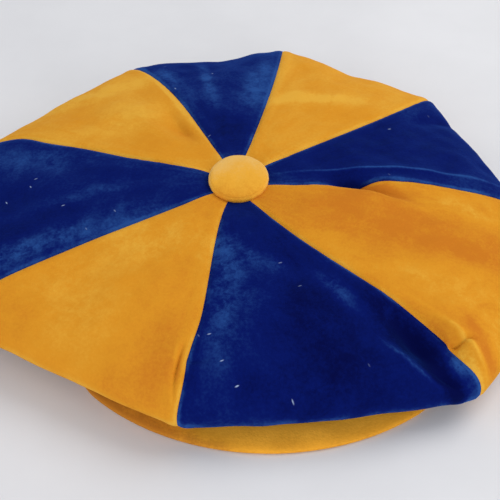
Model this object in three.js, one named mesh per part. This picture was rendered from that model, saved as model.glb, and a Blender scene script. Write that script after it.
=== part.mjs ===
import * as THREE from 'three';

// Velvet cap with an eight-panel crown, lying on its head band.
// Lengths in millimetres, up is +Z, the peak points to -Y.
// Shapes are worked out about the middle of the head band; the finished pieces are
// moved so that the middle of the cap's outline on the table is the origin.

// Sizes of the crown
const CROWN_REACH = 150;
const HUB_HEIGHT = 48;
const HUB_BACK = -13;
const HUB_SIDE = -17;
const HUB_RING = 6;
const CLOTH = 1.8;
const SEAM_GAP = 0.3;
const RIM_ROLL = 10;

// Sizes of the head band, an oval for a 58 cm head
const BAND_LENGTH = 200;
const BAND_WIDTH = 168;
const BAND_HEIGHT = 28;
const BAND_WALL = 2.4;

// Sizes of the peak; its edge is an arc over the middle and runs into the band at its ends
const PEAK_ARC = 116;
const PEAK_DEPTH = 52;
const PEAK_THICK = 4.4;
const PEAK_BLUNT = 4;
const PEAK_ARC_HALF_DEG = 40;
const PEAK_RUN_IN_DEG = 44;
const PEAK_HALF_DEG = 80;

// Sizes of the covered button
const BUTTON_ACROSS = 30.4;
const BUTTON_RISE = 6.2;
const BUTTON_SHANK = 9.2;
const BUTTON_SHANK_DEPTH = 4;
const BUTTON_LEAN_DEG = 10;

// Fit between neighbouring pieces
const CLEARANCE = 0.3;
const SEWN_BELOW_BAND_EDGE = 0.6;

// Middle of the finished outline, seen from above
const OUTLINE_SIDE = -14.7;
const OUTLINE_BACK = -8.0;

// Seams of the crown, clockwise from the back left one.
// near, half, rim: bearing from the button in degrees, close to it, halfway and at the rim
// reach: rim distance as a share of CROWN_REACH
// rise: height of the rim's fold, and roll: half its depth, as shares of HUB_HEIGHT
const SEAMS = [
  { name: 'back left', near: 117.5, half: 117.5, rim: 121, reach: 0.965, rise: 0.58, roll: 0.18 },
  { name: 'back', near: 80.5, half: 81.5, rim: 83.5, reach: 1.0, rise: 0.62, roll: 0.18 },
  { name: 'back right', near: 41, half: 40.8, rim: 44.4, reach: 0.98, rise: 0.58, roll: 0.18 },
  { name: 'right', near: -5, half: 3, rim: 2, reach: 1.015, rise: 0.48, roll: 0.18 },
  { name: 'front right', near: -55.8, half: -45, rim: -42.6, reach: 1.075, rise: 0.34, roll: 0.16 },
  { name: 'front', near: -100, half: -95.4, rim: -96.5, reach: 0.915, rise: 0.36, roll: 0.18 },
  { name: 'front left', near: -137.4, half: -145.3, rim: -146.7, reach: 1.02, rise: 0.42, roll: 0.2 },
  { name: 'left', near: -197.2, half: -197.4, rim: -197.2, reach: 0.985, rise: 0.52, roll: 0.2 },
];

// Shares of a seam's way out where its near and half bearings are
const NEAR_AT = 0.2;
const HALF_AT = 0.6;

// Panels of the crown; each runs from the seam of the same row to the next one.
// bulge: how far the rim stands out past a straight line between its seams, share of CROWN_REACH
// fullest: how far across the panel the bulge is largest
// puff: how far the middle stands above its seams, share of HUB_HEIGHT
const PANELS = [
  { name: 'crown_panel_back', cloth: 'blue', bulge: -0.01, fullest: 0.5, puff: 0.03 },
  { name: 'crown_panel_back_right', cloth: 'yellow', bulge: 0.003, fullest: 0.6, puff: 0.03 },
  { name: 'crown_panel_right', cloth: 'blue', bulge: 0.002, fullest: 0.8, puff: 0.02 },
  { name: 'crown_panel_front_right', cloth: 'yellow', bulge: 0.075, fullest: 0.5, puff: 0.05 },
  { name: 'crown_panel_front', cloth: 'blue', bulge: 0.03, fullest: 0.35, puff: 0.03 },
  { name: 'crown_panel_front_left', cloth: 'yellow', bulge: 0.005, fullest: 0.5, puff: 0.04 },
  { name: 'crown_panel_left', cloth: 'blue', bulge: 0.08, fullest: 0.5, puff: 0.04 },
  { name: 'crown_panel_back_left', cloth: 'yellow', bulge: 0.01, fullest: 0.7, puff: 0.03 },
];

// Powers that shape the crown: the dome's is below 1, which keeps it full towards the rim,
// and the puff's is above 1, which puts a panel's fullest place outside its middle
const DOME_POWER = 0.8;
const PUFF_POWER = 1.3;

// Folds and dents in the crown's top, each along a line.
// from, to: its ends, sideways and back from the button, as shares of CROWN_REACH
// left, right: how wide it is on either side of the line, as shares of CROWN_REACH
// height: share of HUB_HEIGHT, below zero for a dent
const FOLDS = [
  {
    name: 'crest on the right yellow panel',
    from: [0.08, -0.02], to: [0.68, -0.11], left: 0.04, right: 0.12, height: 0.06,
  },
  {
    name: 'valley behind that crest',
    from: [0.24, 0.035], to: [0.62, -0.06], left: 0.045, right: 0.04, height: -0.075,
  },
  {
    name: 'swell behind that valley',
    from: [0.36, 0.03], to: [0.86, 0.01], left: 0.06, right: 0.06, height: 0.05,
  },
  {
    name: 'crest along the right blue panel',
    from: [0.08, 0.06], to: [0.99, 0.13], left: 0.08, right: 0.06, height: 0.06,
  },
  {
    name: 'ridge to the front right corner',
    from: [0.46, -0.43], to: [0.86, -0.72], left: 0.09, right: 0.05, height: 0.07,
  },
  {
    name: 'hollow of the front right corner',
    from: [0.46, -0.49], to: [0.76, -0.76], left: 0.05, right: 0.06, height: -0.11,
  },
  {
    name: 'crease on the front blue panel',
    from: [0.42, -0.6], to: [0.7, -0.8], left: 0.05, right: 0.1, height: 0.06,
  },
  {
    name: 'dent on the back left panel',
    from: [-0.14, 0.17], to: [-0.36, 0.5], left: 0.08, right: 0.05, height: -0.05,
  },
  {
    name: 'wave at the back rim',
    from: [-0.18, 0.5], to: [-0.12, 1.0], left: 0.08, right: 0.08, height: -0.05,
  },
  {
    name: 'wave at the back right rim',
    from: [0.22, 0.6], to: [0.34, 1.0], left: 0.1, right: 0.1, height: -0.03,
  },
  {
    name: 'slack on the front left panel',
    from: [-0.3, -0.35], to: [-0.62, -0.72], left: 0.15, right: 0.15, height: -0.05,
  },
  {
    name: 'slack on the left panel',
    from: [-0.5, -0.05], to: [-0.96, -0.12], left: 0.1, right: 0.1, height: -0.04,
  },
  {
    name: 'seat of the button',
    from: [0, 0.2], to: [0.01, -0.3], left: 0.2, right: 0.2, height: -0.07,
  },
];

// Section of the peak: out is the share of the way from the band to the edge,
// top and bottom are the heights of its faces there as shares of PEAK_THICK
const PEAK_SECTION = [
  { out: 0, top: 1, bottom: 0 },
  { out: 0.35, top: 1, bottom: 0 },
  { out: 0.7, top: 0.97, bottom: 0 },
  { out: 0.86, top: 0.84, bottom: 0 },
  { out: 0.96, top: 0.6, bottom: 0 },
  { out: 1, top: 0.35, bottom: 0.12 },
];

// Profile of the button's head from its shank up over the rounded edge;
// out is a share of its radius, up a share of BUTTON_RISE
const BUTTON_HEAD = [
  { out: 0.72, up: 0 },
  { out: 0.93, up: 0.14 },
  { out: 1, up: 0.36 },
  { out: 0.97, up: 0.54 },
  { out: 0.87, up: 0.72 },
  { out: 0.66, up: 0.88 },
  { out: 0.36, up: 0.97 },
];

// Steps of the facets
const STEPS_ACROSS = 9;
const STEPS_TOP = 14;
const STEPS_ROLL = 4;
const STEPS_UNDER = 7;
const STEPS_BAND = 64;
const STEPS_PEAK = 40;
const STEPS_BUTTON = 36;

// Rows from the button outwards over which a panel's normal turns from straight up to its own,
// and the part of a row or column over which a slope is measured
const UPRIGHT_ROWS = 4;
const SLOPE_STEP = 0.02;

const UP = new THREE.Vector3(0, 0, 1);
const HUB = new THREE.Vector3(HUB_SIDE, HUB_BACK, HUB_HEIGHT);

const mix = (a, b, share) => a + (b - a) * share;
const radians = THREE.MathUtils.degToRad;
const clamp = THREE.MathUtils.clamp;
const easeInOut = (v) => v * v * (3 - 2 * v);
const middleHigh = (u) => 4 * u * (1 - u);

// Bearing of a seam at a share of its way out, on the parabola through its three bearings
function seamBearing(seam, out) {
  const near = ((out - HALF_AT) * (out - 1)) / ((NEAR_AT - HALF_AT) * (NEAR_AT - 1));
  const half = ((out - NEAR_AT) * (out - 1)) / ((HALF_AT - NEAR_AT) * (HALF_AT - 1));
  const rim = ((out - NEAR_AT) * (out - HALF_AT)) / ((1 - NEAR_AT) * (1 - HALF_AT));
  return radians(seam.near * near + seam.half * half + seam.rim * rim);
}

// Place of a seam seen from above
function seamPlace(seam, out) {
  const bearing = seamBearing(seam, out);
  const distance = out * seam.reach * CROWN_REACH;
  return new THREE.Vector2(
    HUB_SIDE + distance * Math.cos(bearing),
    HUB_BACK + distance * Math.sin(bearing),
  );
}

// Height that the folds and dents add at a place of the top
function foldHeight(x, y) {
  let height = 0;
  for (const fold of FOLDS) {
    const [fromX, fromY] = fold.from;
    const [toX, toY] = fold.to;
    const alongX = (toX - fromX) * CROWN_REACH;
    const alongY = (toY - fromY) * CROWN_REACH;
    const length = Math.hypot(alongX, alongY);
    const offX = x - HUB_SIDE - fromX * CROWN_REACH;
    const offY = y - HUB_BACK - fromY * CROWN_REACH;
    const along = (offX * alongX + offY * alongY) / length ** 2;
    const aside = (offY * alongX - offX * alongY) / length;
    const width = (aside > 0 ? fold.left : fold.right) * CROWN_REACH;
    const taper = along > 0 && along < 1 ? Math.sin(Math.PI * along) : 0;
    height += fold.height * HUB_HEIGHT * taper * Math.exp(-((aside / width) ** 2));
  }
  return height;
}

// Direction across a panel's rim, pointing away from the button
function rimDirection(from, to) {
  const start = seamPlace(from, 1);
  const end = seamPlace(to, 1);
  const across = new THREE.Vector2(start.y - end.y, end.x - start.x).normalize();
  const middle = start.add(end).multiplyScalar(0.5).sub(new THREE.Vector2(HUB_SIDE, HUB_BACK));
  return across.dot(middle) < 0 ? across.negate() : across;
}

// Place on a panel seen from above, u across it and out along it
function panelPlace(index, u, out) {
  const from = SEAMS[index];
  const to = SEAMS[(index + 1) % SEAMS.length];
  const place = seamPlace(from, out).lerp(seamPlace(to, out), u);
  const panel = PANELS[index];
  const across = u ** (Math.log(0.5) / Math.log(panel.fullest));
  const bulge = panel.bulge * CROWN_REACH * middleHigh(across) * out ** 2;
  return place.addScaledVector(rimDirection(from, to), bulge);
}

// Distance from the middle of the band to its outer face, towards a place
function bandReach(x, y) {
  const distance = Math.hypot(x, y);
  return distance / Math.hypot(x / (BAND_WIDTH / 2), y / (BAND_LENGTH / 2));
}

// Top of the crown, from the button (v = 0) to the rim (v = 1)
function topPoint(index, u, v) {
  const from = SEAMS[index];
  const to = SEAMS[(index + 1) % SEAMS.length];
  const start = HUB_RING / CROWN_REACH;
  const turn = mix(Math.asin(start), Math.PI / 2, v);
  const out = Math.sin(turn);
  const place = panelPlace(index, u, out);
  const rim = mix(from.rise, to.rise, u) * HUB_HEIGHT;
  const puff = PANELS[index].puff * HUB_HEIGHT * middleHigh(u) * Math.sin(Math.PI * out ** PUFF_POWER);
  const drop = Math.max(Math.cos(turn), 0) ** DOME_POWER;
  const height = rim + (HUB_HEIGHT - rim) * drop + Math.max(puff, 0);
  return new THREE.Vector3(place.x, place.y, height + foldHeight(place.x, place.y));
}

// Rolled rim, from its widest line (v = 0) down to its lowest line (v = 1)
function rollPoint(index, u, v) {
  const from = SEAMS[index];
  const to = SEAMS[(index + 1) % SEAMS.length];
  const place = panelPlace(index, u, 1);
  const turn = (v * Math.PI) / 2;
  const share = 1 - (RIM_ROLL * (1 - Math.cos(turn))) / place.length();
  const rim = mix(from.rise, to.rise, u);
  const roll = mix(from.roll, to.roll, u);
  const fold = foldHeight(place.x, place.y) * Math.cos(turn);
  const height = (rim - roll * Math.sin(turn)) * HUB_HEIGHT + fold;
  return new THREE.Vector3(place.x * share, place.y * share, height);
}

// Underside, from the rolled rim (v = 0) in to the outer face of the band (v = 1)
function underPoint(index, u, v) {
  const start = rollPoint(index, u, 1);
  const reach = Math.hypot(start.x, start.y);
  const end = bandReach(start.x, start.y) + CLEARANCE;
  const share = mix(reach, end, v) / reach;
  const edge = BAND_HEIGHT - CLOTH - SEWN_BELOW_BAND_EDGE;
  const height = mix(start.z, edge, easeInOut(v));
  return new THREE.Vector3(start.x * share, start.y * share, height);
}

// Point of a panel's outer face; row counts from the button over the rim to the band
function panelPoint(index, u, row) {
  if (row <= STEPS_TOP) {
    return topPoint(index, u, row / STEPS_TOP);
  }
  if (row <= STEPS_TOP + STEPS_ROLL) {
    return rollPoint(index, u, (row - STEPS_TOP) / STEPS_ROLL);
  }
  return underPoint(index, u, (row - STEPS_TOP - STEPS_ROLL) / STEPS_UNDER);
}

const LAST_ROW = STEPS_TOP + STEPS_ROLL + STEPS_UNDER;

// Outward direction of a panel's face, from points a little to either side;
// it turns to straight up where the panels narrow under the button
function panelNormal(index, u, row) {
  const before = panelPoint(index, u, Math.max(row - SLOPE_STEP, 0));
  const after = panelPoint(index, u, Math.min(row + SLOPE_STEP, LAST_ROW));
  const left = panelPoint(index, Math.min(u + SLOPE_STEP, 1), row);
  const right = panelPoint(index, Math.max(u - SLOPE_STEP, 0), row);
  const outward = after.sub(before).cross(left.sub(right)).normalize().negate();
  return outward.lerp(UP, clamp(1 - row / UPRIGHT_ROWS, 0, 1)).normalize();
}

// Frame of a seam: its place, its outward direction and the direction across it
function seamFrame(index, row) {
  const previous = (index + PANELS.length - 1) % PANELS.length;
  const outward = panelNormal(index, 0, row).add(panelNormal(previous, 1, row)).normalize();
  if (row === LAST_ROW) {
    outward.set(0, 0, -1);
  }
  const place = panelPoint(index, 0, row);
  const before = panelPoint(index, 0, Math.max(row - SLOPE_STEP, 0));
  const after = panelPoint(index, 0, Math.min(row + SLOPE_STEP, LAST_ROW));
  const across = outward.clone().cross(after.sub(before)).normalize();
  return { place, outward, across };
}

// Outer and inner point of a panel's cloth at one node of its grid
function clothNode(index, column, row) {
  const atSeam = column === 0 || column === STEPS_ACROSS;
  if (!atSeam) {
    const place = panelPoint(index, column / STEPS_ACROSS, row);
    const outward = row === LAST_ROW
      ? UP.clone().negate()
      : panelNormal(index, column / STEPS_ACROSS, row);
    return { outer: place, inner: place.clone().addScaledVector(outward, -CLOTH) };
  }
  const own = column === 0 ? index : (index + 1) % PANELS.length;
  const frame = seamFrame(own, row);
  const side = column === 0 ? -1 : 1;
  const outer = frame.place.addScaledVector(frame.across, (side * SEAM_GAP) / 2);
  return { outer, inner: outer.clone().addScaledVector(frame.outward, -CLOTH) };
}

// Closed body from two grids of points that share their edges
function sheetBody(outer, inner) {
  const points = [];
  const faces = [];
  const rows = outer.length;
  const columns = outer[0].length;
  const half = rows * columns;
  for (const grid of [outer, inner]) {
    for (const line of grid) {
      points.push(...line);
    }
  }
  const quad = (a, b, c, d) => faces.push(a, b, c, a, c, d);
  const at = (row, column) => row * columns + column;
  for (let row = 0; row + 1 < rows; row += 1) {
    for (let column = 0; column + 1 < columns; column += 1) {
      const a = at(row, column);
      const b = at(row, column + 1);
      const c = at(row + 1, column + 1);
      const d = at(row + 1, column);
      quad(a, b, c, d);
      quad(half + d, half + c, half + b, half + a);
    }
    quad(at(row, 0), at(row + 1, 0), half + at(row + 1, 0), half + at(row, 0));
    const last = columns - 1;
    quad(at(row, last), half + at(row, last), half + at(row + 1, last), at(row + 1, last));
  }
  for (let column = 0; column + 1 < columns; column += 1) {
    const end = rows - 1;
    quad(at(0, column + 1), at(0, column), half + at(0, column), half + at(0, column + 1));
    quad(at(end, column), at(end, column + 1), half + at(end, column + 1), half + at(end, column));
  }
  return facetedGeometry(points, faces);
}

function facetedGeometry(points, faces) {
  const geometry = new THREE.BufferGeometry();
  const flat = points.flatMap((point) => [point.x, point.y, point.z]);
  geometry.setAttribute('position', new THREE.Float32BufferAttribute(flat, 3));
  geometry.setIndex(faces);
  return geometry;
}

function crownPanelGeometry(index) {
  const outer = [];
  const inner = [];
  for (let row = 0; row <= LAST_ROW; row += 1) {
    const nodes = [];
    for (let column = 0; column <= STEPS_ACROSS; column += 1) {
      nodes.push(clothNode(index, column, row));
    }
    outer.push(nodes.map((node) => node.outer));
    inner.push(nodes.map((node) => node.inner));
  }
  return sheetBody(outer, inner);
}

// Oval ring with a flat lower edge
function headBandGeometry() {
  const ring = (inset, z) => {
    const points = [];
    for (let step = 0; step < STEPS_BAND; step += 1) {
      const turn = (2 * Math.PI * step) / STEPS_BAND;
      const x = (BAND_WIDTH / 2 - inset) * Math.cos(turn);
      const y = (BAND_LENGTH / 2 - inset) * Math.sin(turn);
      points.push(new THREE.Vector3(x, y, z));
    }
    return points;
  };
  const rings = [
    ring(0, 0),
    ring(0, BAND_HEIGHT),
    ring(BAND_WALL, BAND_HEIGHT),
    ring(BAND_WALL, 0),
  ];
  const faces = [];
  for (let side = 0; side < rings.length; side += 1) {
    const here = side * STEPS_BAND;
    const next = ((side + 1) % rings.length) * STEPS_BAND;
    for (let step = 0; step < STEPS_BAND; step += 1) {
      const after = (step + 1) % STEPS_BAND;
      faces.push(here + step, here + after, next + after);
      faces.push(here + step, next + after, next + step);
    }
  }
  return facetedGeometry(rings.flat(), faces);
}

// Outer edge of the peak, seen from above, at an angle from its middle line
function peakEdge(angle) {
  const centre = PEAK_ARC - PEAK_DEPTH - BAND_LENGTH / 2;
  const pastArc = Math.abs(angle) - radians(PEAK_ARC_HALF_DEG);
  const flank = clamp(pastArc / radians(PEAK_RUN_IN_DEG), 0, 1);
  const reach = mix(PEAK_ARC, BAND_WIDTH / 2, easeInOut(flank));
  return new THREE.Vector2(reach * Math.sin(angle), centre - reach * Math.cos(angle));
}

// Peak: a stiff cloth-covered board that grows out of the front of the band
function peakGeometry() {
  const top = [];
  const bottom = [];
  for (let step = 0; step <= STEPS_PEAK; step += 1) {
    const angle = radians(mix(-PEAK_HALF_DEG, PEAK_HALF_DEG, step / STEPS_PEAK));
    const edge = peakEdge(angle);
    const root = edge.clone().setLength(bandReach(edge.x, edge.y) + CLEARANCE);
    const length = Math.max(edge.distanceTo(root), PEAK_BLUNT);
    const outward = edge.clone().normalize();
    const high = [];
    const low = [];
    for (const section of PEAK_SECTION) {
      const place = root.clone().addScaledVector(outward, length * section.out);
      high.push(new THREE.Vector3(place.x, place.y, PEAK_THICK * section.top));
      low.push(new THREE.Vector3(place.x, place.y, PEAK_THICK * section.bottom));
    }
    top.push(high);
    bottom.push(low);
  }
  return sheetBody(top, bottom);
}

// Height of the button's foot, where the lower face of the leaning button just clears the cloth
function buttonSeat() {
  const flat = (BUTTON_ACROSS / 2) * BUTTON_HEAD[0].out;
  const slope = Math.tan(radians(BUTTON_LEAN_DEG));
  let seat = 0;
  for (let index = 0; index < PANELS.length; index += 1) {
    for (let column = 0; column <= STEPS_ACROSS; column += 1) {
      const inside = topPoint(index, column / STEPS_ACROSS, 0).sub(HUB);
      const outside = topPoint(index, column / STEPS_ACROSS, 1 / STEPS_TOP).sub(HUB);
      const start = Math.hypot(inside.x, inside.y);
      const end = Math.hypot(outside.x, outside.y);
      const edge = inside.clone().lerp(outside, clamp((flat - start) / (end - start), 0, 1));
      const lowest = Math.max(inside.z - inside.y * slope, edge.z - edge.y * slope);
      seat = column === 0 && index === 0 ? lowest : Math.max(seat, lowest);
    }
  }
  return HUB.z + seat + CLEARANCE;
}

// Covered button: a domed disc on a short shank
function buttonGeometry() {
  const radius = BUTTON_ACROSS / 2;
  const shank = BUTTON_SHANK / 2;
  const head = BUTTON_HEAD.map((at) => new THREE.Vector2(radius * at.out, BUTTON_RISE * at.up));
  const profile = [
    new THREE.Vector2(0, -BUTTON_SHANK_DEPTH),
    new THREE.Vector2(shank, -BUTTON_SHANK_DEPTH),
    new THREE.Vector2(shank, 0),
    ...head,
    new THREE.Vector2(0, BUTTON_RISE),
  ];
  const points = [];
  const faces = [];
  const rings = profile.slice(1, -1);
  points.push(new THREE.Vector3(0, 0, profile[0].y));
  for (const at of rings) {
    for (let step = 0; step < STEPS_BUTTON; step += 1) {
      const turn = (2 * Math.PI * step) / STEPS_BUTTON;
      points.push(new THREE.Vector3(at.x * Math.cos(turn), at.x * Math.sin(turn), at.y));
    }
  }
  points.push(new THREE.Vector3(0, 0, BUTTON_RISE));
  const last = points.length - 1;
  for (let step = 0; step < STEPS_BUTTON; step += 1) {
    const after = (step + 1) % STEPS_BUTTON;
    faces.push(0, 1 + after, 1 + step);
    for (let ring = 0; ring + 1 < rings.length; ring += 1) {
      const here = 1 + ring * STEPS_BUTTON;
      const next = here + STEPS_BUTTON;
      faces.push(here + step, here + after, next + after);
      faces.push(here + step, next + after, next + step);
    }
    const top = 1 + (rings.length - 1) * STEPS_BUTTON;
    faces.push(top + step, top + after, last);
  }
  const geometry = facetedGeometry(points, faces);
  geometry.rotateX(radians(BUTTON_LEAN_DEG));
  geometry.translate(HUB.x, HUB.y, buttonSeat());
  return geometry;
}

const YELLOW = { color: 0xdc982a, roughness: 0.9, metalness: 0 };
const BLUE = { color: 0x0b1c66, roughness: 0.88, metalness: 0 };
const BUTTON_CLOTH = { color: 0xe4aa3c, roughness: 0.85, metalness: 0 };
const PEAK_CLOTH = { color: 0xcf8f2c, roughness: 0.9, metalness: 0 };

function addPiece(cap, name, geometry, cloth) {
  geometry.translate(-OUTLINE_SIDE, -OUTLINE_BACK, 0);
  geometry.computeVertexNormals();
  const mesh = new THREE.Mesh(geometry, new THREE.MeshStandardMaterial(cloth));
  mesh.name = name;
  cap.add(mesh);
}

function buildCap() {
  const cap = new THREE.Group();
  cap.name = 'velvet_cap';
  PANELS.forEach((panel, index) => {
    const cloth = panel.cloth === 'blue' ? BLUE : YELLOW;
    addPiece(cap, panel.name, crownPanelGeometry(index), cloth);
  });
  addPiece(cap, 'covered_button', buttonGeometry(), BUTTON_CLOTH);
  addPiece(cap, 'peak', peakGeometry(), PEAK_CLOTH);
  addPiece(cap, 'head_band', headBandGeometry(), YELLOW);
  return cap;
}

const cap = buildCap();

export default cap;
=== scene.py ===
import math
from typing import NamedTuple

import bpy
import numpy as np
from mathutils import Matrix, Vector


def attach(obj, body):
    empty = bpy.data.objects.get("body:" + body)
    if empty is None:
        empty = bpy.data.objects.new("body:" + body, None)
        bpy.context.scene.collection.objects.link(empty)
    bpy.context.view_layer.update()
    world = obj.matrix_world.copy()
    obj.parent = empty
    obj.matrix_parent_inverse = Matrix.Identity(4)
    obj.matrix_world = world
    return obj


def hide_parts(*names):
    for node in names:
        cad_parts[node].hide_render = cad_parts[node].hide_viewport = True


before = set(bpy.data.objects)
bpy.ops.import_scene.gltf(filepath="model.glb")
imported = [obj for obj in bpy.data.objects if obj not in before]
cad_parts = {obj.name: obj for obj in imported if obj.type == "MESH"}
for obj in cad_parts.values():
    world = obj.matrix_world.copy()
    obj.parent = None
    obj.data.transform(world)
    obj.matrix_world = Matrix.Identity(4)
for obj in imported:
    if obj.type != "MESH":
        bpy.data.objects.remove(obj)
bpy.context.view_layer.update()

# Lengths are worked out in millimetres, about the middle of the head band, as the
# solids' source does, and turned into the frame's metres when a mesh is made.
MM = 0.001

# Sizes that the solids have too
CROWN_REACH = 150.0
HUB_HEIGHT = 48.0
HUB_BACK = -13.0
HUB_SIDE = -17.0
HUB_RING = 6.0
RIM_ROLL = 10.0
BAND_LENGTH = 200.0
BAND_WIDTH = 168.0
BAND_HEIGHT = 28.0
BAND_WALL = 2.4
PEAK_ARC = 116.0
PEAK_THICK = 4.4
PEAK_ARC_HALF_DEG = 40.0
PEAK_RUN_IN_DEG = 44.0
PEAK_HALF_DEG = 80.0
BUTTON_ACROSS = 30.4
BUTTON_RISE = 6.2
BUTTON_SHANK = 9.2
CLEARANCE = 0.3
SEWN_BELOW_BAND_EDGE = 0.6
OUTLINE_SIDE = -14.7
OUTLINE_BACK = -8.0

# Sizes that differ from the solids', by up to 2 mm and 2 degrees
CLOTH = 1.6
PEAK_DEPTH = 50.2
PEAK_BLUNT = 5.0
BUTTON_LEAN_DEG = 12.0
BUTTON_ASIDE = 1.3
BUTTON_FORWARD = 0.4
BUTTON_SHANK_DEPTH = 3.5

# Shares of a seam's way out where its near and half bearings are
NEAR_AT = 0.2
HALF_AT = 0.6

# Powers that shape the dome's fall from the button and the puff of each panel
DOME_POWER = 0.8
PUFF_POWER = 1.3

# Seams: the groove that the stitches pull, the welt beside it and the puckers across both
GROOVE_DEPTH = 0.8
GROOVE_HALF = 1.3
WELT_HEIGHT = 0.22
WELT_AT = 4.5
WELT_HALF = 2.2
PUCKER_HEIGHT = 0.10
PUCKER_REACH = 6.0
PUCKER_LENGTH = 9.0
PUCKER_WANDER = 3.0

# Where the crown's fine relief is held back: swells beside seams and at the rim, and all of
# it round the button
STILL_BESIDE_SEAM = 9.0
STILL_AT_RIM = 0.6
STILL_ROUND_BUTTON = 14.0
STILL_RUN_OUT = 12.0

# Worn pile with a painted sheen highlight on it: beside a seam in millimetres, and over the rim's
# fold as shares of its rows
WORN_SHEEN_SEAM_HALF = 0.9
WORN_SHEEN_BESIDE = 0.35
WORN_SHEEN_BESIDE_HALF = 6.0
WORN_SHEEN_RIM = 1.4
WORN_SHEEN_RIM_AT = 0.15
WORN_SHEEN_RIM_HALF = 0.22

# Half width of the painted highlight line along the crest of a fold, share of CROWN_REACH
CREST_HALF = 0.0065

# Button: its flat underside, the lip that rounds it, its seat, how oval it is, its swell
BUTTON_FILLET_UP = 0.1
BUTTON_FILLET_OUT = 0.8
BUTTON_FLAT = 0.86
BUTTON_LIP_OUT = 2.1
BUTTON_LIP_UP = 2.2
BUTTON_LIP_AT = 0.38
BUTTON_LIP_FROM_DEG = -75
BUTTON_LIP_TO_DEG = 60
BUTTON_SEAT = 0.5
BUTTON_OVAL = 0.006
BUTTON_OVAL_TURN = 0.6
BUTTON_SWELL_FROM = 1.0
BUTTON_SWELL_RUN = 3.0

# Button: pleats of the cloth gathered under its lip, and how far and often they wander
PLEATS = 23
PLEAT_DEPTH = 0.10
PLEAT_WANDER = 2.0
PLEAT_WANDERS = 3
PLEATS_FROM = 12.0
PLEATS_RUN = 3.0
PLEATS_BELOW = 1.4
PLEATS_FADE = 2.6

# Button: how its pile lies in the middle, then painted light and shade: paler towards the back and
# one side, and deeper at its rim; and a painted highlight round its edge
BUTTON_LIE = 0.48
BUTTON_PAINTED_LIGHT_BACK = 0.90
BUTTON_PAINTED_LIGHT_SIDE = -0.18
BUTTON_PAINTED_SHADE_RIM = -0.15
BUTTON_RIM_FROM = 12.5
BUTTON_RIM_RUN = 2.5
BUTTON_RIM_HIGHLIGHT = 0.9
BUTTON_RIM_HIGHLIGHT_IN = 0.2
BUTTON_RIM_HIGHLIGHT_HALF = 0.6

# Peak: half height of its lip, then the rounding over it: width, share of a short section
# that it takes at most, and fullness
PEAK_EDGE = 1.2
PEAK_ROUND = 16.0
PEAK_ROUND_MOST = 0.8
PEAK_ROUND_POWER = 0.8

# Peak: painted light and shade over it at distances from its edge, deeper at the edge and paler
# further in where the crown shades it, and how that changes from side to side
PEAK_PAINTED_LIGHT_AT = (0, 2, 6, 12, 20)
PEAK_PAINTED_LIGHT = (-0.6, -0.4, 0.15, 0.8, 1.3)
PEAK_PAINTED_LIGHT_MIDDLE = -28.0
PEAK_PAINTED_LIGHT_RUN = 60.0
PEAK_PAINTED_LIGHT_MOST = 0.5

# Scale of the maps that the velvet's streaks follow, and how wide a panel is on them
UV_SCALE = 0.01
UV_PANEL = 120.0

# Steps of the meshes
ACROSS = 96
TOP_ROWS = 150
ROLL_ROWS = 24
UNDER_ROWS = 36
SEAM_CROWDING = 0.55
BUTTON_STEPS = 128
BUTTON_FLAT_STEPS = 8
BUTTON_LIP_STEPS = 14
BUTTON_TOP_STEPS = 16
PEAK_STEPS = 220
PEAK_FLAT_STEPS = 12
PEAK_ROUND_STEPS = 18
PEAK_LIP_STEPS = 6
PEAK_BACK_STEPS = 13
BAND_STEPS = 240
BAND_FACE_STEPS = 24
BAND_TOP_STEPS = 10

# Marks on a mesh that its velvet's colour follows: how the pile lies and where it is brushed, both
# with painted light and shade, painted crest highlights, and worn edges with a painted sheen
MARKS = ("nap", "brushed_and_painted_light", "crest", "edge")

# Camera: the photograph's view, its place in millimetres in the frame
CAMERA_PLACE = (36.9, -465.0, 405.2)
CAMERA_DOWN_DEG = 41.3
CAMERA_TURN_DEG = 4.0
CAMERA_LENS = 82.7
CAMERA_SENSOR = 36.0
CAMERA_CLIP = 0.01

# Stage: floor, its half width and how far it lies below the part, and light from all round
FLOOR_HALF = 3.0
FLOOR_DROP = 0.0002
FLOOR_DARK = (0.68, 0.68, 0.70)
FLOOR_PALE = (0.71, 0.71, 0.73)
FLOOR_ROUGH = 0.7
SKY = (0.94, 0.96, 1.0, 1.0)
SKY_LOW = 1.11
SKY_HIGH = 0.52
SKY_HIGH_AT = 0.8
LAMP_SIZE = 1.0

# Shader nodes: their spacing in the node editor, and the Mix node's sockets for colours
NODE_COLUMN = 200
NODE_ROW = 240
MIX_FACTOR = 0
MIX_A = 6
MIX_B = 7
MIX_RESULT = 2


class Seam(NamedTuple):
    """A seam's bearings from the button in degrees, its reach as a share of CROWN_REACH,
    and the height and half depth of the rim's fold as shares of HUB_HEIGHT."""

    name: str
    near: float
    half: float
    rim: float
    reach: float
    rise: float
    roll: float


SEAMS = [
    Seam("back left", 117.5, 117.5, 121.0, 0.957, 0.58, 0.18),
    Seam("back", 80.5, 81.5, 83.5, 1.0, 0.62, 0.18),
    Seam("back right", 41.0, 40.8, 44.4, 0.98, 0.58, 0.18),
    Seam("right", -5.0, 3.0, 2.0, 1.015, 0.48, 0.18),
    Seam("front right", -55.8, -45.0, -42.5, 1.076, 0.34, 0.16),
    Seam("front", -100.0, -95.4, -96.5, 0.915, 0.36, 0.18),
    Seam("front left", -139.4, -144.8, -146.7, 1.02, 0.42, 0.20),
    Seam("left", -199.2, -197.4, -197.0, 0.985, 0.52, 0.20),
]


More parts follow.
